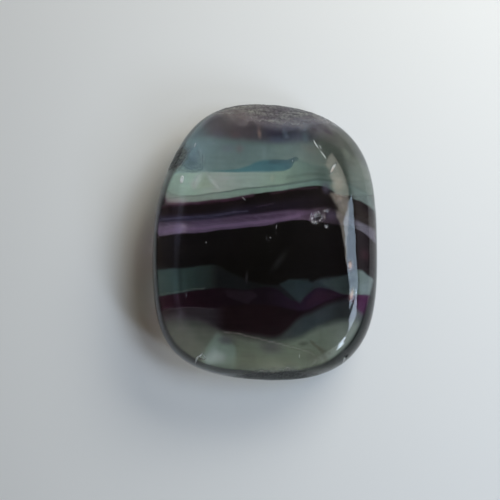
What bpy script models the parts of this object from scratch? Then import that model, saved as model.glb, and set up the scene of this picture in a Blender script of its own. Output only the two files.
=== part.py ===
# Banded fluorite slab: one polished, rounded piece that lies on its flat underside.
# X runs across the slab, Y along it and Z up. The origin is the middle of the underside.

import math

import bmesh
import bpy
from mathutils import Vector, noise

MM = 0.001

# Driving dimensions
THICKNESS = 8.0 * MM
GIRTH_HEIGHT = 3.7 * MM  # where the slab is widest
CROWN = 0.25 * MM  # how far the top face swells from its shoulder to its middle
SHOULDER_BLUNTNESS = 2.3  # 2 is an ellipse; more is closer to a square edge
UNDER_ROUNDING = 3.0 * MM  # how far the underside's flat face lies inside the girth
UNDER_BLUNTNESS = 2.1

# The girth is the closed cubic B-spline that these points steer, anticlockwise from the
# middle of the right side, in mm. The curve passes just inside them.
GIRTH_POINTS = [
    (12.5, 0.2),
    (12.0, 9.6),
    (6.9, 14.7),
    (-0.3, 15.7),
    (-7.2, 15.1),
    (-11.5, 8.0),
    (-12.7, 1.2),
    (-12.3, -10.5),
    (-8.0, -14.8),
    (0.0, -15.8),
    (7.8, -15.2),
    (12.6, -9.9),
]

# How wide the top face's rounded shoulder is, in mm, every 45 degrees from the right side
SHOULDER_WIDTHS = [4.3, 5.2, 4.0, 3.4, 1.2, 1.8, 1.9, 3.4]

# How finely the slab is made
STEPS_BETWEEN_POINTS = 15
SHOULDER_STEPS = 12
UNDER_STEPS = 6
FACE_RINGS = (0.86, 0.66, 0.42, 0.18)  # shares of the flat face's half width

# Hand polishing leaves the faces a little uneven
UNEVENNESS = 0.07 * MM
UNEVEN_LENGTH = 7.0 * MM

# Places that the polish didn't reach, where the rough stone shows as shallow worn ledges and
# grains. Each is an ellipse seen from above, and its ledges run along its first axis.
ROUGH_PATCHES = [
    {
        "centre": (0.4, 14.6),
        "half": (9.2, 3.2),
        "turn": -3.0,
        "depth": 0.22,
        "ledge": 1.5,
        "grain": 0.6,
    },
    {
        "centre": (1.6, -15.2),
        "half": (6.6, 1.9),
        "turn": 3.0,
        "depth": 0.18,
        "ledge": 1.2,
        "grain": 1.3,
    },
    {
        "centre": (-10.0, 8.4),
        "half": (2.6, 1.5),
        "turn": 62.0,
        "depth": 0.16,
        "ledge": 1.3,
        "grain": 0.7,
    },
]
PATCH_EDGE = 0.6  # the share of a patch's half size where its edge starts to rise
PATCH_START = 4.3 * MM  # the patches stay above this height, so that the outline stays smooth
PATCH_WHOLE = 5.8 * MM  # and have their whole depth from this height up
PATCH_RAGGEDNESS = 0.12  # how far a patch's edge strays, as a share of its half size
RAGGED_LENGTH = 2.0 * MM
LEDGE_RISE = 0.55  # how much of a patch's depth lies between a ledge's low and high edge
LEDGE_WANDER_LENGTH = 3.0 * MM
GRAIN_RISE = 0.4
GRAIN_LENGTH = 1.1 * MM

# Small pits and chips, as places on the slab in mm, with the cutter's radii and turn
PITS = [
    {"name": "pit", "at": (5.63, 2.0, 8.0), "radii": (0.48, 0.42, 0.52), "turn": 20.0},
    {"name": "speck", "at": (6.7, 1.1, 7.98), "radii": (0.22, 0.17, 0.22), "turn": 0.0},
    {"name": "left_chip", "at": (-6.25, -13.2, 7.75), "radii": (0.8, 0.45, 0.42), "turn": 25.0},
    {"name": "right_chip", "at": (9.0, -12.5, 6.95), "radii": (0.3, 0.42, 0.42), "turn": -35.0},
]
PIT_JAGGEDNESS = 0.16
JAG_LENGTH = 0.6  # in radii of the cutter


def closed_spline(points, steps):
    """Points on the closed cubic B-spline that the given ones steer."""
    found = []
    count = len(points)
    for i in range(count):
        before, start = Vector(points[i - 1]), Vector(points[i])
        end, after = Vector(points[(i + 1) % count]), Vector(points[(i + 2) % count])
        for k in range(steps):
            t = k / steps
            found.append(
                (
                    (1 - t) ** 3 * before
                    + (3 * t**3 - 6 * t**2 + 4) * start
                    + (-3 * t**3 + 3 * t**2 + 3 * t + 1) * end
                    + t**3 * after
                )
                / 6
            )
    return found


def shoulder_width(point):
    """The shoulder's width at a girth point, eased between the eight given widths."""
    turn = math.degrees(math.atan2(point.y, point.x)) % 360 / 45
    low = int(turn) % 8
    share = 0.5 - 0.5 * math.cos(math.pi * (turn - int(turn)))
    width = SHOULDER_WIDTHS[low] * (1 - share) + SHOULDER_WIDTHS[(low + 1) % 8] * share
    return width * MM


def rounded_edge(share, bluntness):
    """(how far out, how far up) a blunt quarter round is, from 0 at its girth to 1 at its face."""
    angle = share * math.pi / 2
    out = math.cos(angle) ** (2 / bluntness)
    up = math.sin(angle) ** (2 / bluntness)
    return out, up


def drawn_in(point, inset):
    """A girth point moved towards the middle by inset."""
    return point * (1 - inset / point.length)


def top_rings(girth):
    """Rings from above the girth, over the shoulder and across the top face."""
    shoulder_height = THICKNESS - CROWN
    rings = []
    for k in range(1, SHOULDER_STEPS + 1):
        out, up = rounded_edge(k / SHOULDER_STEPS, SHOULDER_BLUNTNESS)
        height = GIRTH_HEIGHT + (shoulder_height - GIRTH_HEIGHT) * up
        rings.append([(drawn_in(p, shoulder_width(p) * (1 - out)), height) for p in girth])
    for share in FACE_RINGS:
        height = shoulder_height + CROWN * (1 - share**2)
        rings.append([(drawn_in(p, shoulder_width(p)) * share, height) for p in girth])
    return rings


def under_rings(girth):
    """Rings from the flat underside up to the girth."""
    rings = []
    for k in range(UNDER_STEPS, -1, -1):
        out, down = rounded_edge(k / UNDER_STEPS, UNDER_BLUNTNESS)
        height = GIRTH_HEIGHT * (1 - down)
        rings.append([(drawn_in(p, UNDER_ROUNDING * (1 - out)), height) for p in girth])
    return rings


def polished_body():
    """The slab before anything is broken off it, as a bmesh."""
    girth = [p * MM for p in closed_spline(GIRTH_POINTS, STEPS_BETWEEN_POINTS)]
    body = bmesh.new()
    rings = []
    for ring in under_rings(girth) + top_rings(girth):
        rings.append([body.verts.new((place.x, place.y, height)) for place, height in ring])
    for lower, upper in zip(rings, rings[1:]):
        for i in range(len(girth)):
            body.faces.new((lower[i - 1], lower[i], upper[i], upper[i - 1]))
    body.faces.new(list(reversed(rings[0])))
    body.faces.new(rings[-1])
    body.normal_update()
    return body


def make_uneven(body):
    """Moves the polished surface in and out a little, and leaves the underside flat."""
    for vertex in body.verts:
        height = vertex.co.z / THICKNESS
        swell = noise.noise(vertex.co / UNEVEN_LENGTH)
        vertex.co += vertex.normal * swell * UNEVENNESS * height
    body.normal_update()


def eased(share):
    """A share held between 0 and 1, with soft ends."""
    share = min(1.0, max(0.0, share))
    return share * share * (3 - 2 * share)


def patch_share(patch, place):
    """(how fully a place lies in a rough patch, how far across the patch it is)."""
    turn = math.radians(patch["turn"])
    offset = place.xy - Vector(patch["centre"]) * MM
    along = offset.x * math.cos(turn) + offset.y * math.sin(turn)
    across = offset.y * math.cos(turn) - offset.x * math.sin(turn)
    half_length, half_width = Vector(patch["half"]) * MM
    reach = math.hypot(along / half_length, across / half_width)
    reach += PATCH_RAGGEDNESS * noise.noise(place / RAGGED_LENGTH)
    share = eased((1 - reach) / (1 - PATCH_EDGE))
    share *= eased((place.z - PATCH_START) / (PATCH_WHOLE - PATCH_START))
    return share, across


def break_open(body, patch):
    """Roughens one patch of the surface into shallow ledges and grains."""
    moves = []
    for vertex in body.verts:
        share, across = patch_share(patch, vertex.co)
        wander = noise.noise(vertex.co / LEDGE_WANDER_LENGTH)
        ledge = (across / (patch["ledge"] * MM) + wander) % 1
        grain = noise.noise(vertex.co / GRAIN_LENGTH) * patch["grain"]
        relief = 1 - LEDGE_RISE * (1 - ledge) + GRAIN_RISE * grain
        moves.append(vertex.normal * patch["depth"] * MM * share * relief)
    for vertex, move in zip(body.verts, moves):
        vertex.co -= move
    body.normal_update()


def centre_over_origin(body):
    """Brings the middle of the underside to the origin."""
    middle = Vector((0, 0, 0))
    for axis in range(3):
        values = [vertex.co[axis] for vertex in body.verts]
        middle[axis] = (min(values) + max(values)) / 2 if axis < 2 else min(values)
    bmesh.ops.translate(body, verts=body.verts, vec=-middle)


def stone_material():
    """Clear green fluorite darkened by its purple bands, polished."""
    material = bpy.data.materials.new("polished_fluorite")
    material.use_nodes = True
    shader = material.node_tree.nodes["Principled BSDF"]
    shader.inputs["Base Color"].default_value = (0.09, 0.11, 0.10, 1)
    shader.inputs["Roughness"].default_value = 0.08
    shader.inputs["Metallic"].default_value = 0.0
    shader.inputs["IOR"].default_value = 1.434
    material.diffuse_color = (0.09, 0.11, 0.10, 1)
    return material


def pit_cutter(pit):
    """A small jagged ball that is cut out of the slab."""
    ball = bmesh.new()
    bmesh.ops.create_icosphere(ball, subdivisions=2, radius=1)
    turn = math.radians(pit["turn"])
    centre = Vector(pit["at"])
    for vertex in ball.verts:
        jag = 1 + PIT_JAGGEDNESS * noise.noise(vertex.co / JAG_LENGTH + centre)
        across, along, up = (c * r * jag for c, r in zip(vertex.co, pit["radii"]))
        turned = Vector(
            (
                across * math.cos(turn) - along * math.sin(turn),
                across * math.sin(turn) + along * math.cos(turn),
                up,
            )
        )
        vertex.co = (turned + centre) * MM
    mesh = bpy.data.meshes.new(pit["name"])
    ball.to_mesh(mesh)
    ball.free()
    cutter = bpy.data.objects.new(pit["name"], mesh)
    cutter.hide_render = True
    cutter.display_type = "WIRE"
    bpy.context.scene.collection.objects.link(cutter)
    return cutter


def fluorite_slab():
    """The whole stone: one object, with its pits cut by Booleans."""
    body = polished_body()
    make_uneven(body)
    for patch in ROUGH_PATCHES:
        break_open(body, patch)
    centre_over_origin(body)
    mesh = bpy.data.meshes.new("fluorite_slab")
    body.to_mesh(mesh)
    body.free()
    mesh.shade_smooth()
    slab = bpy.data.objects.new("fluorite_slab", mesh)
    bpy.context.scene.collection.objects.link(slab)
    mesh.materials.append(stone_material())
    for pit in PITS:
        cut = slab.modifiers.new(pit["name"], "BOOLEAN")
        cut.operation = "DIFFERENCE"
        cut.solver = "EXACT"
        cut.object = pit_cutter(pit)
    return slab


for old in list(bpy.data.objects):
    bpy.data.objects.remove(old)
fluorite_slab()
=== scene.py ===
# Polished slab of banded fluorite, lying on a plain pale table and seen from above.
# In the dictionaries lengths are in millimetres, angles in degrees and colours in sRGB hex.

import math

import bmesh
import bpy
import numpy as np
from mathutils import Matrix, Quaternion, Vector, noise


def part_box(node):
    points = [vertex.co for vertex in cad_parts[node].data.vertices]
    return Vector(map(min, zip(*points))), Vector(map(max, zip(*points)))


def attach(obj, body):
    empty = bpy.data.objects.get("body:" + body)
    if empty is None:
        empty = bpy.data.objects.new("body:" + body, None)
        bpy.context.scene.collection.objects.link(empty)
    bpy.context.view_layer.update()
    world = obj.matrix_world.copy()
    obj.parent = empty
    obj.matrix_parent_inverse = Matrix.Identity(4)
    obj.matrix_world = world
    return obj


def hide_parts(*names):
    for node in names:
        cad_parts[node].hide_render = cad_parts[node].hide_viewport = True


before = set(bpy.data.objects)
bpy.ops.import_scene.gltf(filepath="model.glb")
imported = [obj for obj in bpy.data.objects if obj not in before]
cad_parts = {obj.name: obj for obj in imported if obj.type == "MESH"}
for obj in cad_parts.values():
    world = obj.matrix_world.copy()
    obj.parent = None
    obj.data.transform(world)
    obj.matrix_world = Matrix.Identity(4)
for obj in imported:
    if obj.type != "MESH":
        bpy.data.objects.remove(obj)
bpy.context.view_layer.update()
mm = 0.001


def linearColour(hexColour):
    channels = []
    for i in (1, 3, 5):
        value = int(hexColour[i:i + 2], 16) / 255
        channels.append(value / 12.92 if value <= 0.04045 else ((value + 0.055) / 1.055) ** 2.4)
    return (*channels, 1.0)


# Adds a node and gives one of its outputs. Inputs are values or the sockets to link, and
# settings are its properties.
def addNode(tree, kind, inputs=None, output=0, **settings):
    node = tree.nodes.new(kind)
    for name, value in settings.items():
        setattr(node, name, value)
    for key, value in (inputs or {}).items():
        if isinstance(value, bpy.types.NodeSocket):
            tree.links.new(value, node.inputs[key])
        else:
            node.inputs[key].default_value = value
    return node.outputs[output]


# A share held between 0 and 1, with soft ends.
def eased(share):
    share = np.clip(share, 0.0, 1.0)
    return share * share * (3 - 2 * share)


print("camera")
cameraSetup = {
    "place": (-0.7165, -14.5427, 110.2101),
    "turn": (7.2016, 0.3525, 1.2974),
    "lens": 69.17,
    "sensor": 36,
    "nearest": 5.0,
}


def makeCamera():
    data = bpy.data.cameras.new("photoCamera")
    data.lens = cameraSetup["lens"]
    data.sensor_width = cameraSetup["sensor"]
    data.clip_start = cameraSetup["nearest"] * mm
    camera = bpy.data.objects.new("photoCamera", data)
    camera.location = [value * mm for value in cameraSetup["place"]]
    camera.rotation_euler = [math.radians(value) for value in cameraSetup["turn"]]
    bpy.context.scene.collection.objects.link(camera)
    bpy.context.scene.camera = camera


makeCamera()

print("table, room and windows")
studio = {
    "tableSize": 3000,
    "tableDrop": 0.1,  # how far below the stone's flat face the table lies
    "tableColour": "#e6e7e5",
    "tableRoughness": 0.9,
    "tableShine": 0.2,
    "farWall": "#f2d4a6",  # the wall away from the windows
    "windowWall": "#eef0ee",  # and the one that they are in
    "windowSide": (0.82, 0.57),  # which way the windows are, across and along the stone
    "wallTurn": 0.8,  # how far to each side the one wall gives way to the other
    # How bright the room is, by the sine of the height.
    "levels": [(0.0, 0.05), (0.3, 0.07), (0.5, 0.2), (0.65, 0.2), (0.9, 0.045)],
}
# The window panes that the stone mirrors, and a lamp close by that it doesn't.
softboxes = {
    "upperPane": {"turn": 41, "height": 66, "roll": 0, "width": 40, "tall": 48, "away": 200,
                  "colour": "#ece3d6", "brightness": 4.0, "mirrored": True},
    "middlePane": {"turn": 16, "height": 62, "roll": 0, "width": 42, "tall": 68, "away": 200,
                   "colour": "#c3d9ef", "brightness": 8.2, "mirrored": True},
    "lowerPane": {"turn": -11, "height": 56, "roll": -31, "width": 38, "tall": 66, "away": 200,
                  "colour": "#d4e4fa", "brightness": 11.0, "mirrored": True},
    "sideWindow": {"turn": -38, "height": 39, "roll": -20, "width": 24, "tall": 76, "away": 220,
                   "colour": "#dceaff", "brightness": 18.0, "mirrored": True},
    "nearLamp": {"turn": 52, "height": 38, "roll": 0, "width": 90, "tall": 60, "away": 130,
                 "colour": "#fbf7ee", "brightness": 6.0, "mirrored": False},
}


def makeTable():
    bpy.ops.mesh.primitive_plane_add(size=studio["tableSize"] * mm)
    table = bpy.context.object
    table.name = "table"
    table.location.z = -studio["tableDrop"] * mm
    # Matt white card: an even white with hardly any sheen.
    material = bpy.data.materials.new("mattWhiteCard")
    material.use_nodes = True
    shader = material.node_tree.nodes["Principled BSDF"]
    shader.inputs["Base Color"].default_value = linearColour(studio["tableColour"])
    shader.inputs["Roughness"].default_value = studio["tableRoughness"]
    shader.inputs["Specular IOR Level"].default_value = studio["tableShine"]
    table.data.materials.append(material)


def fillRamp(ramp, stops):
    elements = ramp.color_ramp.elements
    while len(elements) < len(stops):
        elements.new(0.5)
    for element, (position, colour) in zip(elements, stops):
        element.position = position
        element.color = colour


def makeRoom():
    world = bpy.data.worlds.new("room")
    bpy.context.scene.world = world
    world.use_nodes = True
    tree = world.node_tree
    direction = addNode(tree, "ShaderNodeTexCoord", output="Generated")
    height = addNode(tree, "ShaderNodeSeparateXYZ", {0: direction}, "Z")
    facing = addNode(tree, "ShaderNodeVectorMath", {0: direction, 1: (*studio["windowSide"], 0)},
                     "Value", operation="DOT_PRODUCT")
    side = addNode(tree, "ShaderNodeMapRange",
                   {0: facing, 1: -studio["wallTurn"], 2: studio["wallTurn"]},
                   interpolation_type="SMOOTHSTEP")
    far, near = linearColour(studio["farWall"]), linearColour(studio["windowWall"])
    wall = addNode(tree, "ShaderNodeMix", {0: side, 6: far, 7: near}, 2, data_type="RGBA")
    bright = addNode(tree, "ShaderNodeValToRGB", {0: height})
    fillRamp(bright.node, [(sine, (level, level, level, 1)) for sine, level in studio["levels"]])
    light = addNode(tree, "ShaderNodeMix", {0: 1.0, 6: wall, 7: bright}, 2, data_type="RGBA",
                    blend_type="MULTIPLY")
    tree.links.new(light, tree.nodes["Background"].inputs["Color"])


def makeSoftbox(name, box):
    data = bpy.data.lights.new(name, "AREA")
    data.shape = "RECTANGLE"
    data.size = box["width"] * mm
    data.size_y = box["tall"] * mm
    data.color = linearColour(box["colour"])[:3]
    data.energy = box["brightness"] * math.pi * data.size * data.size_y  # in watts
    turn, height = math.radians(box["turn"]), math.radians(box["height"])
    level = math.cos(height)
    aim = Vector((math.cos(turn) * level, math.sin(turn) * level, math.sin(height)))
    light = bpy.data.objects.new(name, data)
    light.location = aim * box["away"] * mm
    facing = aim.to_track_quat("Z", "Y") @ Quaternion((0, 0, 1), math.radians(box["roll"]))
    light.rotation_euler = facing.to_euler()
    light.visible_glossy = box["mirrored"]
    bpy.context.scene.collection.objects.link(light)


makeTable()
makeRoom()
for boxName, box in softboxes.items():
    makeSoftbox(boxName, box)
bpy.context.scene.view_settings.view_transform = "Standard"

print("stone: shape")
stone = {
    "merge": 0.001,  # points of the solid closer than this are one
    "voxel": 0.36,
    "polishing": 14,  # rounds of smoothing that take the solid's facets away
    "polishStrength": 0.5,
    "upperSide": 4.0,  # rough patches, chips and flaws lie above this height
    "upperRise": 1.0,
}
# Where the polish didn't reach: ellipses seen from above, with worn ledges along their first
# axis and grains on them. Their depths are fine, as the solid has the deeper ones.
roughPatches = {
    "topEnd": {"centre": (0.6, 14.9), "half": (9.8, 3.6), "turn": -5,
               "ledgeWidth": 0.55, "ledgeDepth": 0.07, "grainSize": 0.22, "grainDepth": 0.035},
    "bottomEnd": {"centre": (1.4, -15.6), "half": (6.6, 1.9), "turn": 3,
                  "ledgeWidth": 0.6, "ledgeDepth": 0.03, "grainSize": 0.16, "grainDepth": 0.09},
    "upperLeft": {"centre": (-9.8, 8.6), "half": (2.1, 1.4), "turn": 55,
                  "ledgeWidth": 0.5, "ledgeDepth": 0.06, "grainSize": 0.25, "grainDepth": 0.05},
}
patchShape = {
    "edge": 0.55,  # the share of a patch's half size over which its edge fades
    "ragged": [(2.0, 0.14), (0.6, 0.12)],  # how far the edge strays: length and size of the waves
    "furthest": 1.3,  # how far out a patch can reach, in half sizes
    "rise": 1.2,
    "strayLength": 4.0,  # how the ledges wander
    "strayWidth": 1.5,
    "stray": 1.6,
    "refinedFrom": 0.1,  # the share from which the mesh is made finer
    "cuts": 1,
}
# Small holes and chips: hole is the radius of the steep part, rim that of the bruise round it.
chips = {
    "pit": {"at": (5.6, 2.1), "hole": 0.36, "rim": 0.8, "depth": 0.5, "rimDepth": 0.05},
    "speck": {"at": (6.5, 1.1), "hole": 0.12, "rim": 0.3, "depth": 0.08, "rimDepth": 0.01},
    "leftChip": {"at": (-6.4, -13.1), "hole": 0.42, "rim": 0.66, "depth": 0.16, "rimDepth": 0.02},
    "rightChip": {"at": (8.9, -12.6), "hole": 0.26, "rim": 0.6, "depth": 0.22, "rimDepth": 0.05},
}
chipShape = {
    "margin": 0.3,  # how far round a chip the mesh is made finer
    "cuts": 3,
    "holeFade": 0.35,  # the shares of the radii over which the hole and the rim slope
    "rimFade": 0.6,
    "raggedLength": 0.35,
    "ragged": 0.25,
    "jagLength": 0.16,
    "jag": 0.3,
}
# Painted shade: the edge is painted dark, as it looks from above where the light inside can't get
# out.
# The shades are, every 45 degrees from the right side, the steepness they start at (upright part of
# the normal) and how dark they get.
paintedShade = {
    "shades": [(0.42, 0.93), (0.48, 0.9), (0.45, 0.7), (0.72, 0.97), (0.9, 1.0), (0.82, 0.99),
               (0.72, 0.98), (0.9, 0.995)],
    "fade": 0.16,
    "uprightFrom": -0.05,  # it fades out towards the upright sides
    "uprightTo": 0.25,
    "colour": "#1d2123",
}
# The shoulder on the right is a little milky.
milkySide = {
    "middle": -12,  # the direction it faces, and how far it spans to each side
    "span": 64,
    "spanFade": 20,
    "steepness": (0.995, 0.93),  # from clear, on the top face, to milky
    "rim": (0.15, 0.5),  # and clear again at the rim
    "lowest": 2,
    "share": 0.24,
}


def smoothStone():
    body = bmesh.new()
    body.from_mesh(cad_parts["fluorite_slab"].data)
    bmesh.ops.remove_doubles(body, verts=body.verts, dist=stone["merge"] * mm)
    mesh = bpy.data.meshes.new("roughCopy")
    body.to_mesh(mesh)
    body.free()
    copy = bpy.data.objects.new("roughCopy", mesh)
    bpy.context.scene.collection.objects.link(copy)
    remesh = copy.modifiers.new("evenMesh", "REMESH")
    remesh.mode = "VOXEL"
    remesh.voxel_size = stone["voxel"] * mm
    smooth = copy.modifiers.new("polish", "SMOOTH")
    smooth.factor = stone["polishStrength"]
    smooth.iterations = stone["polishing"]
    finer = copy.modifiers.new("finer", "SUBSURF")
    finer.levels = finer.render_levels = 1
    graph = bpy.context.evaluated_depsgraph_get()
    fine = bpy.data.meshes.new_from_object(copy.evaluated_get(graph))
    bpy.data.objects.remove(copy)
    fine.materials.clear()
    return fine


# Smoothing draws the form in a little. This brings it back to the size of the CAD's box.
def fitToBox(body):
    low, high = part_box("fluorite_slab")
    for i in range(3):
        least = min(vertex.co[i] for vertex in body.verts)
        most = max(vertex.co[i] for vertex in body.verts)
        stretch = (high[i] - low[i]) / (most - least)
        for vertex in body.verts:
            vertex.co[i] = low[i] + (vertex.co[i] - least) * stretch


# How rough a patch makes a place, and where the place is along and across it.
def patchShare(patch, place):
    turn = math.radians(patch["turn"])
    x, y = place.x - patch["centre"][0], place.y - patch["centre"][1]
    along = x * math.cos(turn) + y * math.sin(turn)
    across = y * math.cos(turn) - x * math.sin(turn)
    reach = math.hypot(along / patch["half"][0], across / patch["half"][1])
    if reach > patchShape["furthest"] or place.z < stone["upperSide"]:
        return 0.0, along, across
    for length, size in patchShape["ragged"]:
        reach += size * noise.noise(place / length)
    share = eased((1 - reach) / patchShape["edge"])
    share *= eased((place.z - stone["upperSide"]) / patchShape["rise"])
    return float(share), along, across


def onPatch(place):
    least = patchShape["refinedFrom"]
    return any(patchShare(patch, place)[0] > least for patch in roughPatches.values())


def nearChip(chip):
    centre = Vector(chip["at"])
    reach = chip["rim"] + chipShape["margin"]
    return lambda place: place.z > stone["upperSide"] and (place.xy - centre).length < reach


def refine(body, isNear, cuts):
    inside = {vertex for vertex in body.verts if isNear(vertex.co / mm)}
    edges = [edge for edge in body.edges if edge.verts[0] in inside and edge.verts[1] in inside]
    bmesh.ops.subdivide_edges(body, edges=edges, cuts=cuts, use_grid_fill=True)


# Gives each rough patch its worn ledges and grains. Returns how rough each point is.
def roughen(body):
    shares = []
    for vertex in body.verts:
        place = vertex.co / mm
        whole, depth = 0.0, 0.0
        for patch in roughPatches.values():
            share, along, across = patchShare(patch, place)
            if share > 0:
                bend = along / patchShape["strayLength"], across / patchShape["strayWidth"], 0
                stray = patchShape["stray"] * noise.noise(bend)
                ledge = (across / patch["ledgeWidth"] + stray) % 1
                grain = noise.noise(place / patch["grainSize"])
                depth += share * (patch["ledgeDepth"] * (1 - ledge) - patch["grainDepth"] * grain)
                whole = max(whole, share)
        vertex.co -= vertex.normal * depth * mm
        shares.append(whole)
    return shares


def cutChip(body, chip):
    isNear = nearChip(chip)
    centre = Vector(chip["at"])
    for vertex in body.verts:
        place = vertex.co / mm
        if not isNear(place):
            continue
        stray = 1 + chipShape["ragged"] * noise.noise(place / chipShape["raggedLength"])
        away = (place.xy - centre).length * stray
        steep = eased((chip["hole"] - away) / (chipShape["holeFade"] * chip["hole"]))
        bruise = eased((chip["rim"] - away) / (chipShape["rimFade"] * chip["rim"]))
        jag = 1 + chipShape["jag"] * noise.noise(place / chipShape["jagLength"])
        vertex.co.z -= (chip["depth"] * steep + chip["rimDepth"] * bruise) * jag * mm


# How much painted shade the edge gets at a point.
def edgeShade(vertex):
    shades = paintedShade["shades"]
    turn = math.degrees(math.atan2(vertex.co.y, vertex.co.x)) % 360 * len(shades) / 360
    share = eased(turn % 1)
    first, second = shades[int(turn) % len(shades)], shades[(int(turn) + 1) % len(shades)]
    start, depth = (a + (b - a) * share for a, b in zip(first, second))
    upright, level = paintedShade["uprightFrom"], paintedShade["uprightTo"]
    dark = eased((start - vertex.normal.z) / paintedShade["fade"])
    return float(dark * eased((vertex.normal.z - upright) / (level - upright)) * depth)


def milkiness(vertex):
    if vertex.co.z <= milkySide["lowest"] * mm:
        return 0.0
    turn = math.degrees(math.atan2(vertex.co.y, vertex.co.x)) - milkySide["middle"]
    clear, milky = milkySide["steepness"]
    outside, inside = milkySide["rim"]
    share = eased((clear - vertex.normal.z) / (clear - milky))
    share *= eased((milkySide["span"] - abs(turn)) / milkySide["spanFade"])
    share *= eased((vertex.normal.z - outside) / (inside - outside))
    return float(share * milkySide["share"])


def storeShare(mesh, name, values):
    mesh.attributes.new(name, "FLOAT", "POINT").data.foreach_set("value", values)


def shapeStone():
    mesh = smoothStone()
    body = bmesh.new()
    body.from_mesh(mesh)
    fitToBox(body)
    refine(body, onPatch, patchShape["cuts"])
    for chip in chips.values():
        refine(body, nearChip(chip), chipShape["cuts"])
    body.normal_update()
    shades = [edgeShade(vertex) for vertex in body.verts]
    milky = [milkiness(vertex) for vertex in body.verts]
    shares = roughen(body)
    for chip in chips.values():
        cutChip(body, chip)
    body.normal_update()
    body.to_mesh(mesh)
    body.free()
    storeShare(mesh, "unpolished", shares)
    storeShare(mesh, "paintedShade", shades)
    storeShare(mesh, "milky", milky)
    mesh.shade_smooth()
    return mesh


stoneMesh = shapeStone()
print("stone has", sum(len(face.vertices) - 2 for face in stoneMesh.polygons), "triangles")

print("stone: growth bands and stains")
growth = {
    "clearest": 0.27,  # how bright the clearest stone looks on the pale table
    "passes": 1.7,  # how often light passes the surface's colour, on its way down and back up
    "lean": 0.3,  # how far the bands lean along the stone for each mm of depth
    "faceHeight": 7.8,
    "girth": 3.7,  # the height where they start to turn back towards the underside
    "underSpread": 0.948,  # how the pattern lies there
    "underShift": -0.78,
    "waver": [(2.6, 0.14), (0.7, 0.05)],  # how unevenly the bands grew: length and size of waves
    "halfWidth": 12.5,  # what the pattern covers
    "halfLength": 16.0,
}


# The surface's own colour, for one that is given as it looks on the pale table.
def seenColour(hexColour):
    shares = [min(1.0, value / growth["clearest"]) for value in linearColour(hexColour)[:3]]
    return (*[share ** (1 / growth["passes"]) for share in shares], 1.0)


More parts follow.
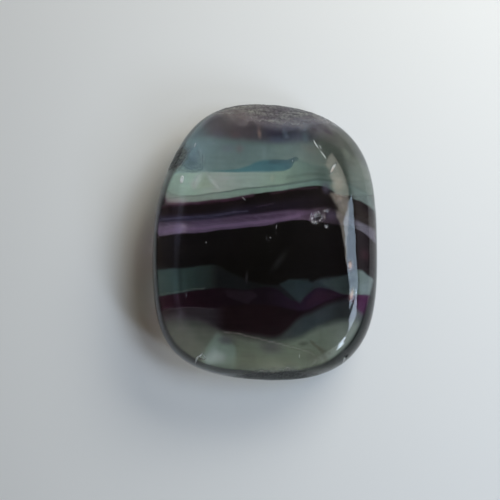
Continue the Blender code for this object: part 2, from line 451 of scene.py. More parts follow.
# The growth bands, from the top edge down. Each starts at its edge, a line of (across, along)
# points, and its colours are (across, colour) stops.
firstColours = [(-10, "#4c5a60"), (-6.5, "#4d4a4a"), (-3, "#554a4b"), (-0.5, "#494248"),
                (1.5, "#3a3844"), (3.5, "#4b4c56"), (6.5, "#46414b"), (9, "#484d4e")]
growthBands = {
    "clearTop": {
        "soft": 1.1,
        "edge": [(-12.5, 12), (-7.4, 10.8), (-2.5, 10.4), (0.8, 10.2), (4.1, 10.4), (6.3, 10.6),
                 (9, 9.5), (12.5, 8.5)],
        "colours": [(-10, "#56676a"), (-5, "#63726f"), (-1, "#62716c"), (2, "#64716a"),
                    (5, "#62685f"), (9, "#596159")],
    },
    "tealWedge": {
        "soft": 0.22,
        "edge": [(-12.5, 6.9), (-5.6, 6.95), (-2.2, 7.4), (-0.9, 7.95), (0.5, 8.2), (2.4, 8.35),
                 (3.2, 8.6), (3.6, 8.3), (6, 7.7), (12.5, 7.2)],
        "colours": [(-6, "#48696a"), (-1, "#3e6066"), (2.4, "#3b565c"), (3.4, "#4f5e5a"),
                    (6, "#545f58")],
    },
    "paleGreen": {
        "soft": 0.25,
        "edge": [(-12.5, 6.85), (-5.5, 6.8), (-1.5, 6.8), (0.5, 6.95), (2.0, 7.15), (2.7, 7.6),
                 (3.2, 8.4), (3.7, 8.2), (6, 7.6), (12.5, 7.1)],
        "colours": [(-11, "#66736a"), (-8, "#7e907f"), (-5, "#8a9b86"), (-1, "#829484"),
                    (1.5, "#728374"), (3.5, "#5b6a60"), (6, "#4d5850"), (8, "#515b53")],
    },
    "growthLine": {
        "soft": 0.12,
        "edge": [(-12.5, 4.2), (-11.2, 4.05), (-7.8, 4.2), (-4.8, 4.6), (-2.9, 4.95),
                 (0.6, 5.4), (3.9, 6.0), (5.8, 6.3), (12.5, 5.0)],
        "colours": [(-11, "#5a6057"), (-2, "#4b5750"), (6, "#434e4a")],
    },
    "underLine": {
        "soft": 0.2,
        "edge": [(-12.5, 4.05), (-11.2, 3.9), (-7.8, 4.05), (-4.8, 4.45), (-2.9, 4.8),
                 (0.6, 5.22), (3.9, 5.78), (5.8, 6.05), (12.5, 4.8)],
        "colours": [(-10, "#6f706a"), (-4, "#6f7e72"), (2, "#64786f"), (6, "#50605b")],
    },
    "firstBlack": {
        "soft": 0.18,
        "edge": [(-12.5, 3.2), (-11.2, 3.15), (-8.9, 3.3), (-6.1, 3.6), (-3.6, 3.95),
                 (-1.4, 4.4), (2.0, 4.9), (4.7, 5.35), (6.2, 5.4), (7.4, 4.75), (9.3, 4.4),
                 (11.4, 4.0), (12.5, 3.8)],
        "colours": [(-11, "#0f080c"), (-2, "#090506"), (8, "#100b0a"), (11, "#070405")],
    },
    "inkBlue": {
        "soft": 0.9,
        "edge": [(-12.5, 2.1), (-7.1, 2.0), (-2.8, 3.0), (2.6, 3.9), (6, 4.3), (12.5, 2.4)],
        "colours": [(-11, "#211d2b"), (-6, "#221e2c"), (-2, "#150f19"), (4, "#130d13"),
                    (8, "#100b0a")],
    },
    "violet": {
        "soft": 0.5,
        "edge": [(-12.5, 1.1), (-8.9, 1.2), (-5.1, 1.65), (-1.4, 2.2), (2.0, 2.65), (4, 2.75),
                 (6.4, 3.1), (8, 2.6), (9.8, 1.9), (12.5, 1.7)],
        "colours": [(-11, "#5d4f62"), (-7, "#4f3f55"), (-3, "#46374b"), (0, "#4b3a50"),
                    (3.5, "#4d3a50"), (6, "#2c2129"), (8.5, "#2a222c"), (10, "#524e5b"),
                    (12, "#4c4452")],
    },
    "secondBlack": {
        "soft": 0.16,
        "edge": [(-12.5, -0.4), (-9.8, -0.17), (-7.9, 0.0), (-5.1, 0.35), (-2.1, 0.78),
                 (0.5, 1.1), (1.5, 1.4), (3.2, 1.65), (5.2, 1.6), (7.4, 1.3), (10.1, 1.0),
                 (11.6, 0.5), (12.5, 0.3)],
        "colours": [(-11, "#0b090b"), (0, "#080706"), (6, "#0c0a0a"), (9.6, "#0d090b"),
                    (11.5, "#070405")],
    },
    "deepTeal": {
        "soft": 0.4,
        "edge": [(-12.5, -3.9), (-8.8, -3.7), (-6.4, -3.4), (-5.1, -3.4), (-3.4, -4.2),
                 (-0.5, -5.2), (1.6, -5.4), (4.2, -5.2), (6.2, -4.5), (8.6, -4.1), (10, -3.4),
                 (11.3, -3.8), (12.5, -4)],
        "colours": [(-11, "#303f3d"), (-7.5, "#263431"), (-5.9, "#1f2827"), (-4.8, "#121516"),
                    (-1, "#101113"), (3, "#141517"), (7, "#2a3133"), (9.5, "#3f4d49"),
                    (10.6, "#5c6f6c"), (11.5, "#5c6d6c")],
    },
    "wine": {
        "soft": 0.2,
        "edge": [(-12.5, -6.95), (-11.6, -6.8), (-8.8, -6.4), (-6.3, -5.95), (-4.6, -5.8),
                 (-2, -5.9), (1, -5.7), (3.2, -7.0), (4.6, -6.4), (5.5, -5.65), (6.5, -5.6),
                 (8.9, -6.2), (10.2, -6.1), (11.1, -5.8), (12.5, -5.8)],
        "colours": [(-11, "#1d0a14"), (-6, "#150810"), (0, "#110910"), (5, "#1d0f1f"),
                    (8.5, "#1f0d1b"), (10, "#2d0c28"), (11.5, "#2b0c26")],
    },
    "lilacAndBlock": {
        "soft": 0.25,
        "edge": [(-12.5, -8.3), (-11.4, -8.15), (-7.8, -7.9), (-4.7, -7.9), (-3.9, -7.7),
                 (0.6, -7.5), (2.8, -7.9), (4.3, -8.0), (6.3, -7.1), (7.8, -6.5), (9.2, -6.3),
                 (10, -7.8), (12.5, -7.7)],
        "colours": [(-11, "#2b2226"), (-6, "#282428"), (-5.0, "#221d22"), (-4.0, "#150a0e"),
                    (3, "#12080b"), (8, "#160a10"), (10.3, "#2b0c26")],
    },
    "slateBlue": {
        "soft": 0.9,
        "edge": [(-12.5, -9.0), (-7.8, -9.0), (-5.1, -9.9), (-4.4, -10.3), (-2, -10.6),
                 (-0.4, -10.8), (1.4, -10.9), (2.5, -10.1), (3.8, -8.8), (5.3, -8.1),
                 (6.6, -7.4), (8, -6.9), (9.2, -6.8), (10.2, -7.9), (12.5, -7.8)],
        "colours": [(-11, "#3b3938"), (-5, "#414240"), (0, "#393a37"), (4.5, "#272c2e"),
                    (8, "#2c3234"), (11, "#454c4d")],
    },
    "olive": {
        "soft": 1.1,
        "edge": [(-12.5, -9.8), (-8.5, -9.7), (-5.5, -10.3), (-2, -11.0), (1.5, -11.4),
                 (3.6, -10.9), (5.4, -9.9), (8.6, -9.0), (12.5, -8.9)],
        "colours": [(-11, "#444740"), (-8, "#4c4e46"), (-3, "#5b6153"), (2, "#5c6153"),
                    (6, "#5e6458"), (8.2, "#6d7a6e"), (9.5, "#6a766c")],
    },
}
# Stains, clouds and glows in the bands, and a painted glint, blueGleam, as ellipses: half is half
# their length and width, and soft is the share of it that fades, the whole of it where none is
# given.
stainsAndGleams = {
    "purpleAtTop": {"at": (0.9, 11.4), "half": (1.9, 0.5), "turn": 4, "soft": 0.8,
                    "colour": "#2f2c38", "share": 0.9},
    "plumStain": {"at": (-3.5, 10.9), "half": (0.9, 0.6), "colour": "#624a4b", "share": 0.8},
    "pinkStain": {"at": (-3.0, 9.4), "half": (0.7, 0.75), "colour": "#725f60", "share": 0.7},
    "lavenderHaze": {"at": (-4.3, 9.4), "half": (1.2, 0.6), "colour": "#63646e", "share": 0.7},
    "dustyHaze": {"at": (-5.4, 11.2), "half": (1.3, 0.8), "turn": 8,
                  "colour": "#574a55", "share": 0.6},
    "rustyGleam": {"at": (-0.9, 11.15), "half": (0.36, 0.85), "turn": 10, "soft": 0.9,
                   "colour": "#96705f", "share": 0.95},
    "inkStain": {"at": (1.1, 10.5), "half": (1.3, 0.45), "colour": "#464a5e", "share": 0.8},
    # A painted glint.
    "blueGleam": {"at": (2.0, 10.95), "half": (0.42, 0.32), "turn": -25, "soft": 0.9,
                  "colour": "#7088a8", "share": 0.9},
    "blueGreyFold": {"at": (4.1, 10.8), "half": (0.55, 0.9), "turn": 14, "soft": 0.9,
                     "colour": "#5d6b74", "share": 0.8},
    "mauveStain": {"at": (5.0, 12.0), "half": (0.7, 0.5), "turn": -10, "soft": 0.9,
                   "colour": "#453847", "share": 0.85},
    "purpleAtRight": {"at": (6.6, 11.9), "half": (1.1, 0.5), "turn": -26, "soft": 0.8,
                      "colour": "#2a2032", "share": 1.0},
    "paleCorner": {"at": (8.6, 9.4), "half": (0.6, 1.1), "turn": 22, "soft": 0.8,
                   "colour": "#7c867e", "share": 0.8},
    "brownHaze": {"at": (4.7, 9.5), "half": (1.7, 0.7), "turn": -22,
                  "colour": "#6b685c", "share": 0.7},
    "paleFold": {"at": (-0.3, 9.3), "half": (0.5, 1.3), "colour": "#6f7f7c", "share": 0.6},
    "greenFold": {"at": (1.4, 9.4), "half": (0.9, 0.8), "colour": "#68766a", "share": 0.6},
    "slateCorner": {"at": (-8.7, 8.6), "half": (2.0, 2.1), "turn": 10, "soft": 0.7,
                    "colour": "#3f4b52", "share": 0.85},
    "notchDark": {"at": (-8.4, 7.75), "half": (1.6, 0.5), "soft": 0.9,
                  "colour": "#33403f", "share": 0.85},
    "blueCorner": {"at": (-8.1, 9.3), "half": (1.1, 1.4), "turn": -10,
                   "colour": "#5a707d", "share": 0.7},
    "yellowLeft": {"at": (-7.8, 5.3), "half": (0.5, 0.8), "colour": "#9aa488", "share": 0.7},
    "yellowRight": {"at": (-5.4, 5.5), "half": (0.4, 0.6), "colour": "#98a38a", "share": 0.6},
    "brownSpot": {"at": (0.6, 6.2), "half": (0.4, 0.6), "colour": "#8f8d7a", "share": 0.6},
    "pinkStrip": {"at": (-9.7, 3.5), "half": (1.6, 0.34), "turn": 3, "soft": 0.7,
                  "colour": "#796e70", "share": 0.85},
    "glowAtBend": {"at": (7.7, 5.6), "half": (1.0, 1.2), "turn": 10, "soft": 0.9,
                   "colour": "#6e6d60", "share": 0.8},
    "hazeDownBend": {"at": (8.3, 3.4), "half": (0.7, 1.6), "turn": 18, "soft": 0.9,
                     "colour": "#57504e", "share": 0.8},
    "hazeAtBend": {"at": (6.4, 5.2), "half": (0.6, 1.0), "turn": 10, "soft": 0.9,
                   "colour": "#483e50", "share": 0.75},
    "lavenderSpot": {"at": (-8.75, 0.5), "half": (0.55, 0.7), "soft": 0.8,
                     "colour": "#8b7d97", "share": 0.9},
    "violetByPit": {"at": (3.7, 2.3), "half": (1.8, 0.4), "turn": 14, "soft": 0.9,
                    "colour": "#56405c", "share": 0.7},
    "hazeByPit": {"at": (7.0, 2.2), "half": (1.1, 0.8), "turn": -10,
                  "colour": "#3d3145", "share": 0.85},
    "redGloom": {"at": (10.7, -1.6), "half": (0.9, 1.0), "colour": "#1c0b10", "share": 0.8},
    "greyStreak": {"at": (-1.9, -4.6), "half": (0.25, 1.0), "soft": 0.9,
                   "colour": "#27272c", "share": 0.8},
    "paleDiagonal": {"at": (1.5, -2.8), "half": (0.6, 2.2), "turn": -34,
                     "colour": "#191a1b", "share": 0.8},
    "tealAtRight": {"at": (10.7, -5.2), "half": (0.9, 1.1), "soft": 0.8,
                    "colour": "#64777a", "share": 0.85},
    "lilacFacet": {"at": (-4.0, -11.3), "half": (1.3, 0.8), "turn": -12, "soft": 0.9,
                   "colour": "#48484d", "share": 0.85},
    "mauveCloud": {"at": (0.8, -12.0), "half": (1.9, 0.85), "turn": -6,
                   "colour": "#453f46", "share": 0.7},
    "darkMarks": {"at": (4.2, -11.5), "half": (0.8, 0.3), "turn": 5,
                  "colour": "#33342e", "share": 0.7},
    "footGlow": {"at": (0.5, -13.5), "half": (6.0, 0.8), "colour": "#6a6d58", "share": 0.6},
    "violetFoot": {"at": (7.0, -13.9), "half": (1.15, 0.6), "turn": 22, "soft": 0.8,
                   "colour": "#4e4b68", "share": 0.9},
}
# Inner crystal faces, as corners in order round them.
facets = {
    "tentLeft": {"corners": [(-6.7, 7.15), (-7.6, 6.6), (-8.3, 5.4), (-8.1, 4.7), (-7.3, 5.6)],
                 "soft": 0.35, "colour": "#93b3ac", "share": 0.75},
    "tentInside": {"corners": [(-6.7, 6.9), (-7.6, 4.8), (-5.3, 4.8)],
                   "soft": 0.4, "colour": "#757e69", "share": 0.55},
    "slateWedge": {"corners": [(1.3, -5.3), (3.8, -7.5), (5.5, -5.3), (4.7, -4.5), (2.6, -4.6)],
                   "soft": 0.3, "colour": "#222c2e", "share": 0.9},
    "tealWing": {"corners": [(5.3, -4.8), (6.6, -5.6), (9.4, -6.2), (9.8, -4.4), (8.8, -4.1)],
                 "soft": 0.3, "colour": "#343f3f", "share": 0.7},
    "slateInWine": {"corners": [(-4.5, -5.9), (-4.0, -6.9), (-1.7, -7.6), (-0.4, -6.5),
                                (-1.2, -5.9)],
                    "soft": 0.3, "colour": "#211b22", "share": 0.5},
    "plumInWine": {"corners": [(4.3, -7.0), (5.4, -5.7), (6.7, -5.65), (8.6, -6.2), (6.5, -7.0),
                               (4.4, -8.0)],
                   "soft": 0.4, "colour": "#24121f", "share": 0.9},
    "mintFacet": {"corners": [(-5.0, -10.2), (-6.8, -12.9), (-6.2, -14.2), (-2.5, -14.0),
                              (-2.6, -12.0), (-3.5, -10.9)],
                  "soft": 0.55, "colour": "#6a7a70", "share": 0.85},
    "mintGlow": {"corners": [(-5.2, -11.6), (-6.6, -12.9), (-6.1, -13.9), (-3.9, -13.9),
                             (-3.6, -12.8)],
                 "soft": 0.6, "colour": "#82968a", "share": 0.8},
}
# Hair cracks, the edges of bands and lines along the rims, as lines. The dark line along the left
# rim is painted shade.
hairlinesAndRimShade = {
    "notchEdge": {"points": [(-9.9, 7.8), (-9.6, 7.15), (-8.2, 6.85), (-7.1, 7.2), (-6.9, 7.7),
                             (-7.1, 8.8)],
                  "width": 0.3, "colour": "#2f3836", "share": 0.8},
    # Painted shade: a dark line along the left rim.
    "paintedLeftRimShade": {"points": [(-10.2, 7.9), (-10.85, 6.4), (-11.2, 5.2), (-11.5, 3.6)],
                "width": 1.3, "colour": "#0c0c0a", "share": 1.0},
    "cornerLine": {"points": [(-6.9, 9.0), (-6.95, 7.6)],
                   "width": 0.24, "colour": "#a3b8b4", "share": 0.6},
    "tentLine": {"points": [(-6.6, 7.0), (-5.1, 4.9)],
                 "width": 0.24, "colour": "#a8b9a6", "share": 0.6},
    "wedgeShadow": {"points": [(0.4, 8.05), (2.4, 8.15), (3.2, 8.4)],
                    "width": 0.45, "colour": "#3d4c51", "share": 0.7},
    "greenFarLine": {"points": [(2.2, 6.35), (4.2, 6.75), (6.2, 6.85)],
                     "width": 0.25, "colour": "#4c5750", "share": 0.5},
    "wineGlowLeft": {"points": [(-11.6, 3.1), (-8.9, 3.2), (-6.1, 3.45), (-3.6, 3.8),
                                (-1.4, 4.3)],
                     "width": 0.5, "colour": "#3a1a2d", "share": 0.7},
    "wineGlowRight": {"points": [(0.5, 4.5), (3.0, 5.0), (5.5, 5.2)],
                      "width": 0.4, "colour": "#2b1420", "share": 0.6},
    "violetShine": {"points": [(-11.8, 0.1), (-8.5, 0.4), (-5.5, 0.75), (-2, 1.2), (1, 1.6),
                               (3.5, 2.1)],
                    "width": 0.55, "colour": "#66506f", "share": 0.6},
    "blueVein": {"points": [(-11.8, 1.45), (-6, 1.95), (-2, 2.55)],
                 "width": 0.35, "colour": "#3f3c55", "share": 0.6},
    "darkVein": {"points": [(-11.8, 0.85), (-6, 1.25), (-2, 1.75), (2, 2.2)],
                 "width": 0.25, "colour": "#37293f", "share": 0.6},
    "paleVein": {"points": [(-1.1, 3.0), (0.8, 3.5)],
                 "width": 0.25, "colour": "#3a2c41", "share": 0.5},
    "overWine": {"points": [(-11.4, -6.6), (-8.8, -6.25), (-6.3, -5.8)],
                 "width": 0.24, "colour": "#535b58", "share": 0.75},
    "underWine": {"points": [(-10.8, -8.1), (-7.8, -7.95), (-5.2, -8.0)],
                  "width": 0.25, "colour": "#433a40", "share": 0.6},
    "footVein": {"points": [(-4.2, -10.4), (-2.3, -10.65), (2.2, -11.7), (5.3, -12.4)],
                 "width": 0.22, "colour": "#8a8078", "share": 0.65},
    "brownVein": {"points": [(5.0, -11.2), (6.0, -12.0), (7.0, -12.4)],
                  "width": 0.3, "colour": "#4a4136", "share": 0.6},
    "blueRim": {"points": [(-11.3, -10.2), (-10.6, -11.5), (-9.6, -12.7), (-8.4, -13.8)],
                "width": 0.7, "colour": "#67737a", "share": 0.7},
}
# Places on the upper side where fine bruising makes the surface milky: the pit's ragged ring
# and the speck's.
bruises = {
    "pitRim": {"at": chips["pit"]["at"], "half": (0.85, 0.8), "soft": 0.6, "share": 0.55},
    "pitSide": {"at": (5.1, 1.75), "half": (0.5, 0.7), "turn": 30, "soft": 0.8, "share": 0.7},
    "pitTail": {"at": (6.4, 2.75), "half": (0.5, 0.2), "turn": 15, "soft": 0.9, "share": 0.5},
    "speckRim": {"at": chips["speck"]["at"], "half": (0.3, 0.3), "soft": 0.8, "share": 0.6},
}
# Painted shade in the pit, which goes deep enough to look dark.
paintedPitShade = {
    "pitHoleShade": {"at": chips["pit"]["at"], "half": (0.4, 0.34), "turn": 15, "soft": 0.4,
                "share": 0.95},
}
# Painted light: where the light in the streak breaks into warm colours.
warmGlints = {
    "upperGlint": {"at": (9.1, -3.0), "half": (0.5, 0.9), "share": 0.8},
    "lowerGlint": {"at": (9.4, -6.1), "half": (0.45, 1.2), "turn": -8, "share": 0.8},
    "bendGlint": {"at": (7.9, 4.4), "half": (0.8, 0.7), "turn": -20, "share": 0.3},
    "bendGlow": {"at": (7.6, 6.4), "half": (1.0, 1.7), "turn": 14, "share": 0.22},
}
warmFrom = 1 / 12  # the share from which a glint is wholly warm
# Painted light: faint beams and glows inside the stone.
paintedGlows = {
    "tentLeft": {"at": (-7.5, 5.7), "half": (0.5, 1.5), "turn": -22, "share": 0.22},
    "tentRight": {"at": (-5.85, 5.75), "half": (0.4, 1.8), "turn": 40, "share": 0.16},
    "mintGlow": {"at": (-4.9, -13.1), "half": (1.8, 1.2), "share": 0.14},
    "footGlow": {"at": (1.0, -13.7), "half": (6.0, 1.1), "share": 0.09},
    "cornerGlow": {"at": (8.2, -10.6), "half": (1.5, 2.6), "turn": -24, "share": 0.12},
}


# Where each point lies in the pattern: leaned along the sides, drawn together underneath.
def patternPlaces(places):
    x, y, z = places.T
    low = eased((growth["girth"] - z) / growth["girth"])
    across = x * (1 - low + low * growth["underSpread"])
    leaned = y + growth["lean"] * (growth["faceHeight"] - z)
    under = y * growth["underSpread"] + growth["underShift"]
    pattern = np.column_stack((across, leaned * (1 - low) + under * low))
    for length, size in growth["waver"]:
        pattern += [size * noise.noise_vector(Vector(place) / length).xy for place in places]
    return pattern


def stainAndPaintedLightShare(stain, pattern):
    turn = math.radians(stain.get("turn", 0))
    offset = pattern - stain["at"]
    along = offset @ (math.cos(turn), math.sin(turn))
    across = offset @ (-math.sin(turn), math.cos(turn))
    reach = np.hypot(along / stain["half"][0], across / stain["half"][1])
    return eased((1 - reach) / stain.get("soft", 1))


def facetShare(facet, pattern):
    corners = [Vector(corner) for corner in facet["corners"]]
    sides = list(zip(corners, corners[1:] + corners[:1]))
    leftwards = sum(start.cross(end) for start, end in sides) > 0
    inside = np.full(len(pattern), np.inf)
    for start, end in sides:
        side = (end - start).normalized()
        reach = (pattern - start) @ (-side.y, side.x)
        inside = np.minimum(inside, reach if leftwards else -reach)
    return eased(inside / facet["soft"])


# Whole within a sixth of the line's width, and gone at half of it.
def lineShare(line, pattern):
    nearest = np.full(len(pattern), np.inf)
    for start, end in zip(line["points"], line["points"][1:]):
        side = np.subtract(end, start)
        share = np.clip((pattern - start) @ side / (side @ side), 0, 1)
        away = np.linalg.norm(pattern - start - share[:, None] * side, axis=1)
        nearest = np.minimum(nearest, away)
    return eased((line["width"] / 2 - nearest) / (line["width"] / 3))


def strongest(marks, pattern):
    return np.max([stainAndPaintedLightShare(mark, pattern) * mark["share"] for mark in marks.values()], axis=0)


# Lays the facets, stains and hairlines, with the painted rim shade and glint among them, over one
# another: one colour for each point, and its share.
def paintedMarks(pattern):
    paint = np.zeros((len(pattern), 4))
    layers = [(facetShare(facet, pattern), facet) for facet in facets.values()]
    layers += [(stainAndPaintedLightShare(stain, pattern), stain) for stain in stainsAndGleams.values()]
    layers += [(lineShare(line, pattern), line) for line in hairlinesAndRimShade.values()]
    for share, mark in layers:
        share = (share * mark["share"])[:, None]
        kept = paint[:, 3:] * (1 - share)
        whole = kept + share
        colour = paint[:, :3] * kept + np.array(seenColour(mark["colour"])[:3]) * share
        paint = np.hstack((colour / np.maximum(whole, 1e-6), whole))
    return paint[:, :3], paint[:, 3]


def paintStone(mesh):
    places = np.zeros(len(mesh.vertices) * 3, dtype=np.float32)
    mesh.vertices.foreach_get("co", places)
    places = places.reshape(-1, 3) / mm
    pattern = patternPlaces(places)
    colours, shares = paintedMarks(pattern)
    upper = eased((places[:, 2] - stone["upperSide"]) / stone["upperRise"])
    # The pit's painted shade, which joins the edge's painted shade.
    dark = strongest(paintedPitShade, pattern) * upper
    warm = strongest(warmGlints, pattern) * upper
    shades = np.zeros(len(pattern), dtype=np.float32)
    mesh.attributes["paintedShade"].data.foreach_get("value", shades)
    mesh.attributes["paintedShade"].data.foreach_set("value", np.maximum(shades, dark))
    storeShare(mesh, "bruise", strongest(bruises, pattern) * upper * (1 - dark))
    # Painted light: the glows and the warm glints.
    storeShare(mesh, "paintedGlow", np.maximum(strongest(paintedGlows, pattern) * upper, warm))
    storeShare(mesh, "warm", eased(warm / warmFrom))
    storeShare(mesh, "stainAndPaintedLightShare", shares)
    stored = {"pattern": np.column_stack((pattern, places[:, 2])), "stainAndPaintedLightColour": colours}
    for name, values in stored.items():
        data = mesh.attributes.new(name, "FLOAT_VECTOR", "POINT").data
        data.foreach_set("vector", values.ravel())


paintStone(stoneMesh)

print("stone: finish")
# Scratches and specks on the upper side, which scatter the light, and glints there, which are
# painted highlights.
flawsAndGlints = {
    "scratchTop": {"at": (1.14, 0.85), "half": (0.05, 0.38), "turn": -6, "soft": 0.5, "share": 0.4},
    "scratchEnd": {"at": (1.1, 0.22), "half": (0.05, 0.26), "turn": 20, "soft": 0.5, "share": 0.35},
    "scratchDot": {"at": (0.52, -0.33), "half": (0.1, 0.08), "share": 0.6},
    "scratchHook": {"at": (0.12, -0.35), "half": (0.05, 0.26), "turn": 18, "share": 0.3},
    "scratchFoot": {"at": (0.34, -0.66), "half": (0.22, 0.05), "turn": -8, "share": 0.3},
    "dotLeft": {"at": (-6.4, -0.9), "half": (0.08, 0.17), "share": 0.45},
    "dotFarLeft": {"at": (-10.8, -0.8), "half": (0.14, 0.12), "soft": 0.8, "share": 0.25},
    "dashLeft": {"at": (-8.2, -1.7), "half": (0.25, 0.05), "share": 0.15},
    "dotMiddle": {"at": (0.5, -1.8), "half": (0.12, 0.08), "soft": 0.8, "share": 0.2},
    "hairUnderGreen": {"at": (-2.35, 3.95), "half": (0.06, 0.42), "turn": 48, "share": 0.5},
    "dotUnderGreen": {"at": (-2.95, 5.0), "half": (0.12, 0.08), "share": 0.5},
    "hairWine": {"at": (-8.35, -6.6), "half": (0.05, 0.5), "soft": 0.7, "share": 0.3},
    "glintLeft": {"at": (-9.25, 6.0), "half": (0.25, 0.55), "turn": -4, "soft": 0.4, "share": 0.95},
    "glintCorner": {"at": (-7.9, 9.95), "half": (0.09, 0.42), "turn": -18, "share": 0.8},
    "glintTop": {"at": (-5.8, 10.1), "half": (0.08, 0.25), "turn": -20, "share": 0.4},
    "glintRightA": {"at": (5.25, 10.15), "half": (0.08, 0.75), "turn": 30, "share": 0.95},
    "glintRightB": {"at": (6.05, 9.0), "half": (0.08, 0.75), "turn": 36, "share": 0.85},
    "glintRightC": {"at": (5.75, 9.85), "half": (0.07, 0.4), "turn": 28, "share": 0.5},
    "glintBend": {"at": (7.15, 7.6), "half": (0.2, 0.85), "turn": -30, "soft": 0.7, "share": 0.8},
    "glintWedge": {"at": (2.75, 8.25), "half": (0.06, 0.25), "share": 0.45},
    "glintFoot": {"at": (3.85, -12.85), "half": (0.08, 0.4), "share": 0.5},
    "chipLeftA": {"at": (-7.0, -13.2), "half": (0.14, 0.42), "turn": -38, "share": 0.75},
    "chipLeftB": {"at": (-6.6, -12.85), "half": (0.1, 0.42), "turn": -42, "share": 0.7},
    "chipLeftC": {"at": (-6.15, -13.0), "half": (0.08, 0.38), "turn": 40, "share": 0.6},
    "chipRight": {"at": (8.75, -12.55), "half": (0.2, 0.45), "turn": -30, "soft": 0.9,
                  "share": 0.5},
}
flawAndGlintSoftness = 0.6  # of the flaws that give none
# The plain colour of the flaws, painted glints and glows, and the warm one of the warm glints.
flawAndGlintColours = {"plain": "#e2e5e4", "warm": "#cfa184"}
# Ragged specks that break up the bruises.
bruiseGrain = {"size": 0.2941, "detail": 5, "none": 0.36, "whole": 0.52}
# Fine growth lines along the bands, and soft mist across them.
growthGrain = {
    "lines": {"stretch": (0.14, 1.6, 0), "size": 0.53, "detail": 3,
              "darkest": 0.94, "lightest": 1.03},
    "mist": {"stretch": (1.2, 0.7, 0.5), "size": 1.25, "detail": 4,
             "darkest": 0.92, "lightest": 1.05},
}
grainSpan = (0.3, 0.7)  # what the noise gives at the darkest and at the lightest
# Unpolished stone: streaky, grainy, matt and half see-through.
unpolished = {
    "streakStretch": (0.25, 1.7, 1.7),
    "streakSize": 0.6667,
    "streakDetail": 7,
    "colours": [(0.3, "#2f2839"), (0.42, "#544d50"), (0.5, "#6a6a67"), (0.58, "#7c7e77"),
                (0.7, "#9fa196")],
    "grainSize": 0.2941,
    "grainDetail": 3,
    "grainSpan": (0.38, 0.6),
    "grainShades": (0.3, 1.4),  # from the darkest grain to the lightest
    "paint": 0.85,  # how far its colours cover the bands
    "frost": 0.6,  # how far it stops being clear
    "roughness": 0.7,  # of what is wholly frosted
}
polish = {
    "ior": 1.434,
    "roughness": 0.035,
    "underRoughness": 0.25,  # the underside is less finely polished
    "underHeights": (3.0, 1.6),
    "swellSize": 1.6667,  # the hand polish leaves faint swells
    "swell": 0.06,
    "relief": 0.14,
    "milk": 0.9,  # how much of the light a wholly milky place stops
    "inside": "#dbe8dd",  # the faint green that light takes on inside the stone
    "density": 6.0,  # for each metre
}


# Where a place lies between the pattern's ends, as a share.
def shareOf(place, half):
    return (place + half) / (2 * half)


def bandStops(colours):
    return [(shareOf(x, growth["halfWidth"]), seenColour(colour)) for x, colour in colours]


def fillCurve(curve, points):
    line = curve.mapping.curves[0]
    half = growth["halfWidth"], growth["halfLength"]
    places = [(shareOf(x, half[0]), shareOf(y, half[1])) for x, y in points]
    line.points[0].location = places[0]
    line.points[1].location = places[-1]
    for place in places[1:-1]:
        line.points.new(*place)
    curve.mapping.update()


def bandedColour(tree, across, along):
    colour = addNode(tree, "ShaderNodeValToRGB", {0: across})
    fillRamp(colour.node, bandStops(firstColours))
    for band in growthBands.values():
        edge = addNode(tree, "ShaderNodeFloatCurve", {"Value": across})
        fillCurve(edge.node, band["edge"])
        past = addNode(tree, "ShaderNodeMath", {0: edge, 1: along}, operation="SUBTRACT")
        half = band["soft"] / 2 / (2 * growth["halfLength"])  # as a share of the whole length
        share = addNode(tree, "ShaderNodeMapRange", {0: past, 1: -half, 2: half},
                        interpolation_type="SMOOTHSTEP")
        bandColour = addNode(tree, "ShaderNodeValToRGB", {0: across})
        fillRamp(bandColour.node, bandStops(band["colours"]))
        colour = addNode(tree, "ShaderNodeMix", {0: share, 6: colour, 7: bandColour}, 2,
                         data_type="RGBA")
    return colour


def unevenColour(tree, colour, pattern):
    for grain in growthGrain.values():
        place = addNode(tree, "ShaderNodeMapping", {0: pattern, 3: grain["stretch"]})
        spread = addNode(tree, "ShaderNodeTexNoise", {"Vector": place, "Scale": 1 / grain["size"],
                                                      "Detail": grain["detail"]})
        level = addNode(tree, "ShaderNodeMapRange", {0: spread, 1: grainSpan[0], 2: grainSpan[1],
                                                     3: grain["darkest"], 4: grain["lightest"]})
        colour = addNode(tree, "ShaderNodeVectorMath", {0: colour, 3: level}, operation="SCALE")
    return colour


def unpolishedColour(tree, colour, rough, place, grains):
    drawnOut = addNode(tree, "ShaderNodeMapping", {0: place, 3: unpolished["streakStretch"]})
    streaks = addNode(tree, "ShaderNodeTexNoise",
                      {"Vector": drawnOut, "Scale": 1 / unpolished["streakSize"],
                       "Detail": unpolished["streakDetail"]})
    matt = addNode(tree, "ShaderNodeValToRGB", {0: streaks})
    stops = [(position, linearColour(tint)) for position, tint in unpolished["colours"]]
    fillRamp(matt.node, stops)
    span, shades = unpolished["grainSpan"], unpolished["grainShades"]
    specks = addNode(tree, "ShaderNodeMapRange", {0: grains, 1: span[0], 2: span[1], 3: shades[0],
                                                  4: shades[1]})
    matt = addNode(tree, "ShaderNodeVectorMath", {0: matt, 3: specks}, operation="SCALE")
    share = addNode(tree, "ShaderNodeMath", {0: rough, 1: unpolished["paint"]},
                    operation="MULTIPLY")
    return addNode(tree, "ShaderNodeMix", {0: share, 6: colour, 7: matt}, 2, data_type="RGBA")


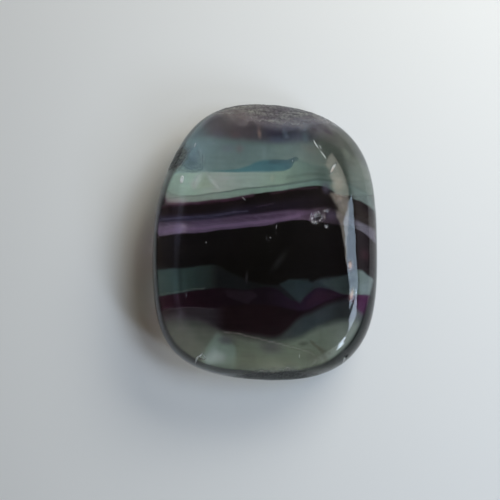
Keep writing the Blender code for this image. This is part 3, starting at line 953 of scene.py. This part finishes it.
# How strongly the strongest of some small ellipses shows. They reach through the whole depth.
def spotShare(tree, place, spots):
    most = None
    for spot in spots.values():
        turn = (0, 0, math.radians(spot.get("turn", 0)))
        flat = addNode(tree, "ShaderNodeMapping",
                       {0: place, 1: (*spot["at"], 0), 3: (*spot["half"], 1000), 2: turn},
                       vector_type="TEXTURE")
        reach = addNode(tree, "ShaderNodeVectorMath", {0: flat}, "Value", operation="LENGTH")
        inner = 1 - spot.get("soft", flawAndGlintSoftness)
        share = addNode(tree, "ShaderNodeMapRange", {0: reach, 1: 1.0, 2: inner, 4: spot["share"]},
                        interpolation_type="SMOOTHSTEP")
        if most:
            share = addNode(tree, "ShaderNodeMath", {0: most, 1: share}, operation="MAXIMUM")
        most = share
    return most


# The flaws, the painted glints and the bruises, on the upper side alone.
def flawAndGlintShare(tree, place, pattern, height):
    ragged = addNode(tree, "ShaderNodeTexNoise", {"Vector": place, "Scale": 1 / bruiseGrain["size"],
                                                  "Detail": bruiseGrain["detail"]})
    ragged = addNode(tree, "ShaderNodeMapRange", {0: ragged, 1: bruiseGrain["none"],
                                                  2: bruiseGrain["whole"]})
    bruise = addNode(tree, "ShaderNodeAttribute", output="Fac", attribute_name="bruise")
    bruise = addNode(tree, "ShaderNodeMath", {0: bruise, 1: ragged}, operation="MULTIPLY")
    flawOrGlint = addNode(tree, "ShaderNodeMath", {0: spotShare(tree, pattern, flawsAndGlints), 1: bruise},
                   operation="MAXIMUM")
    lowest = stone["upperSide"]
    upper = addNode(tree, "ShaderNodeMapRange", {0: height, 1: lowest,
                                                 2: lowest + stone["upperRise"]})
    return addNode(tree, "ShaderNodeMath", {0: flawOrGlint, 1: upper}, operation="MULTIPLY")


# Tumbled and polished fluorite: clear stone in coloured bands, which mirrors the windows sharply
# and bends light a little less than glass. Where it is bruised, milky or rough it scatters light.
def polishedFluorite():
    material = bpy.data.materials.new("polishedBandedFluorite")
    material.use_nodes = True
    tree = material.node_tree
    shader = tree.nodes["Principled BSDF"]
    coords = addNode(tree, "ShaderNodeTexCoord", output="Object")
    place = addNode(tree, "ShaderNodeVectorMath", {0: coords, 3: 1 / mm}, operation="SCALE")
    pattern = addNode(tree, "ShaderNodeAttribute", output="Vector", attribute_name="pattern")
    across, along, height = addNode(tree, "ShaderNodeSeparateXYZ", {0: pattern}).node.outputs
    wide, far = growth["halfWidth"], growth["halfLength"]
    across = addNode(tree, "ShaderNodeMapRange", {0: across, 1: -wide, 2: wide})
    along = addNode(tree, "ShaderNodeMapRange", {0: along, 1: -far, 2: far})
    colour = bandedColour(tree, across, along)
    stain = addNode(tree, "ShaderNodeAttribute", output="Vector", attribute_name="stainAndPaintedLightColour")
    share = addNode(tree, "ShaderNodeAttribute", output="Fac", attribute_name="stainAndPaintedLightShare")
    colour = addNode(tree, "ShaderNodeMix", {0: share, 6: colour, 7: stain}, 2, data_type="RGBA")
    colour = unevenColour(tree, colour, pattern)
    rough = addNode(tree, "ShaderNodeAttribute", output="Fac", attribute_name="unpolished")
    grains = addNode(tree, "ShaderNodeTexNoise",
                     {"Vector": place, "Scale": 1 / unpolished["grainSize"],
                      "Detail": unpolished["grainDetail"]})
    colour = unpolishedColour(tree, colour, rough, place, grains)
    # Painted shade, on the edge and in the pit.
    shade = addNode(tree, "ShaderNodeAttribute", output="Fac", attribute_name="paintedShade")
    edge = linearColour(paintedShade["colour"])
    colour = addNode(tree, "ShaderNodeMix", {0: shade, 6: colour, 7: edge}, 2, data_type="RGBA")

    # Flaws are lighter than the stone, and so are the glows and warm glints, which are painted
    # light.
    flawOrGlint = flawAndGlintShare(tree, place, pattern, height)
    paintedGlow = addNode(tree, "ShaderNodeAttribute", output="Fac", attribute_name="paintedGlow")
    light = addNode(tree, "ShaderNodeMath", {0: flawOrGlint, 1: paintedGlow}, operation="MAXIMUM")
    warm = addNode(tree, "ShaderNodeAttribute", output="Fac", attribute_name="warm")
    plain, warmTint = linearColour(flawAndGlintColours["plain"]), linearColour(flawAndGlintColours["warm"])
    tint = addNode(tree, "ShaderNodeMix", {0: warm, 6: plain, 7: warmTint}, 2, data_type="RGBA")
    colour = addNode(tree, "ShaderNodeMix", {0: light, 6: colour, 7: tint}, 2, data_type="RGBA")

    # They let less light through, and so do the rough patches and the milky shoulder.
    frosted = addNode(tree, "ShaderNodeMath", {0: rough, 1: unpolished["frost"]},
                      operation="MULTIPLY")
    frosted = addNode(tree, "ShaderNodeMath", {0: frosted, 1: flawOrGlint}, operation="MAXIMUM")
    milky = addNode(tree, "ShaderNodeAttribute", output="Fac", attribute_name="milky")
    cloudy = addNode(tree, "ShaderNodeMath", {0: milky, 1: paintedGlow}, operation="MAXIMUM")
    cloudy = addNode(tree, "ShaderNodeMath", {0: frosted, 1: cloudy}, operation="MAXIMUM")
    clear = addNode(tree, "ShaderNodeMath", {0: cloudy, 1: -polish["milk"], 2: 1.0},
                    operation="MULTIPLY_ADD")
    upper, under = polish["underHeights"]
    dull = addNode(tree, "ShaderNodeMapRange", {0: height, 1: upper, 2: under,
                                                3: polish["roughness"],
                                                4: polish["underRoughness"]})
    worn = addNode(tree, "ShaderNodeMath", {0: frosted, 1: unpolished["roughness"]},
                   operation="MULTIPLY")
    worn = addNode(tree, "ShaderNodeMath", {0: dull, 1: worn}, operation="MAXIMUM")
    grain = addNode(tree, "ShaderNodeMath", {0: grains, 1: frosted}, operation="MULTIPLY")
    swell = addNode(tree, "ShaderNodeTexNoise", {"Vector": place, "Scale": 1 / polish["swellSize"],
                                                 "Detail": 1})
    surface = addNode(tree, "ShaderNodeMath", {0: swell, 1: polish["swell"], 2: grain},
                      operation="MULTIPLY_ADD")
    bump = addNode(tree, "ShaderNodeBump", {"Height": surface, "Strength": 1.0,
                                            "Distance": polish["relief"] * mm})

    tree.links.new(colour, shader.inputs["Base Color"])
    tree.links.new(clear, shader.inputs["Transmission Weight"])
    tree.links.new(worn, shader.inputs["Roughness"])
    tree.links.new(bump, shader.inputs["Normal"])
    shader.inputs["IOR"].default_value = polish["ior"]
    inside = addNode(tree, "ShaderNodeVolumeAbsorption", {"Color": linearColour(polish["inside"]),
                                                          "Density": polish["density"]})
    tree.links.new(inside, tree.nodes["Material Output"].inputs["Volume"])
    return material


stoneMesh.materials.append(polishedFluorite())
polishedSlab = bpy.data.objects.new("polishedSlab", stoneMesh)
bpy.context.scene.collection.objects.link(polishedSlab)
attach(polishedSlab, "root")
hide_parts("fluorite_slab")
